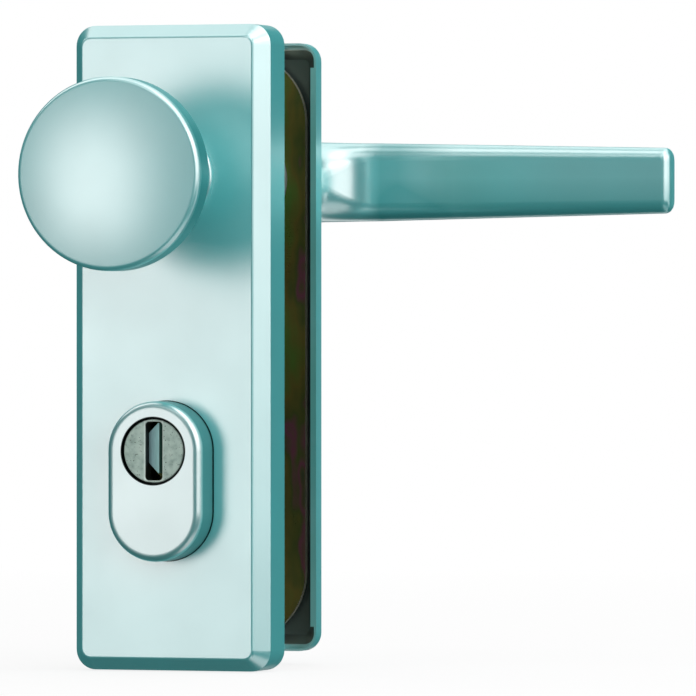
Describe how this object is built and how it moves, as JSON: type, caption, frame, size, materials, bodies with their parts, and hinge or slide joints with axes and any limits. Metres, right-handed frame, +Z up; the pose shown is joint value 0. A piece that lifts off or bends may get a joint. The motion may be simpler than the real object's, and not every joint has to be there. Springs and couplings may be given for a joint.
{
  "type": "security door handle set",
  "caption": "Two-sided door handle set: bevelled outside plate with fixed round knob and oval cylinder cover, thin inside plate with sprung lever, through bolts.",
  "frame": {"origin": "on the spindle axis, in the plane of the outside plate's back, which lies on the door's outer face", "axes": "+X to the right as seen from outside, the way the lever points; +Y through the door from outside to inside; +Z up"},
  "size_m": [0.1342, 0.158, 0.17],
  "materials": {
    "satin_aluminium": "satin anodised, cool blue-green cast",
    "hardened_disc_steel": "grey, mottled",
    "yellow_chromated_steel": "iridescent olive chromate",
    "zinc_plated_steel": "bright zinc",
    "black_steel": "black oxide",
    "spring_steel": "drawn wire",
    "nylon": "moulded"
  },
  "bodies": {
    "root": {"outer_cover": "satin_aluminium", "outer_backing_plate": "yellow_chromated_steel", "outer_cover_screws": "zinc_plated_steel", "mounting_studs": "zinc_plated_steel", "knob_head": "satin_aluminium", "knob_collar": "satin_aluminium", "knob_screw": "zinc_plated_steel", "knob_pins": "zinc_plated_steel", "cylinder_cover": "satin_aluminium", "cylinder_cover_screws": "zinc_plated_steel", "disc_spring": "spring_steel", "disc_snap_ring": "black_steel", "inner_cover": "satin_aluminium", "inner_mounting_plate": "yellow_chromated_steel", "through_bolts": "zinc_plated_steel", "spring_housing": "zinc_plated_steel", "lever_bush": "nylon", "lever_return_spring": "spring_steel"},
    "lever": {"lever_handle": "satin_aluminium", "spindle": "zinc_plated_steel", "grub_screw": "black_steel", "driver_plate": "zinc_plated_steel", "lever_washer": "zinc_plated_steel", "lever_circlip": "black_steel"},
    "disc_carrier": {"disc_carrier": "zinc_plated_steel"},
    "core_disc": {"core_disc": "hardened_disc_steel"}
  },
  "joints": [
    {"name": "lever_turn", "type": "hinge", "parent": "root", "child": "lever", "pos_m": [0, 0.05, 0], "axis": [0, 1, 0], "range_deg": [0, 45], "stiffness_Nm_per_rad": 0.6, "springref_deg": -34.38, "deforming": ["lever_return_spring"]},
    {"name": "disc_float", "type": "slide", "parent": "root", "child": "disc_carrier", "axis": [0, 1, 0], "range_m": [0, 0.0025], "stiffness_N_per_m": 800, "springref_m": -0.002, "deforming": ["disc_spring"]},
    {"name": "disc_turn", "type": "hinge", "parent": "disc_carrier", "child": "core_disc", "pos_m": [0, -0.023, -0.072], "axis": [0, 1, 0], "continuous": true}
  ]
}
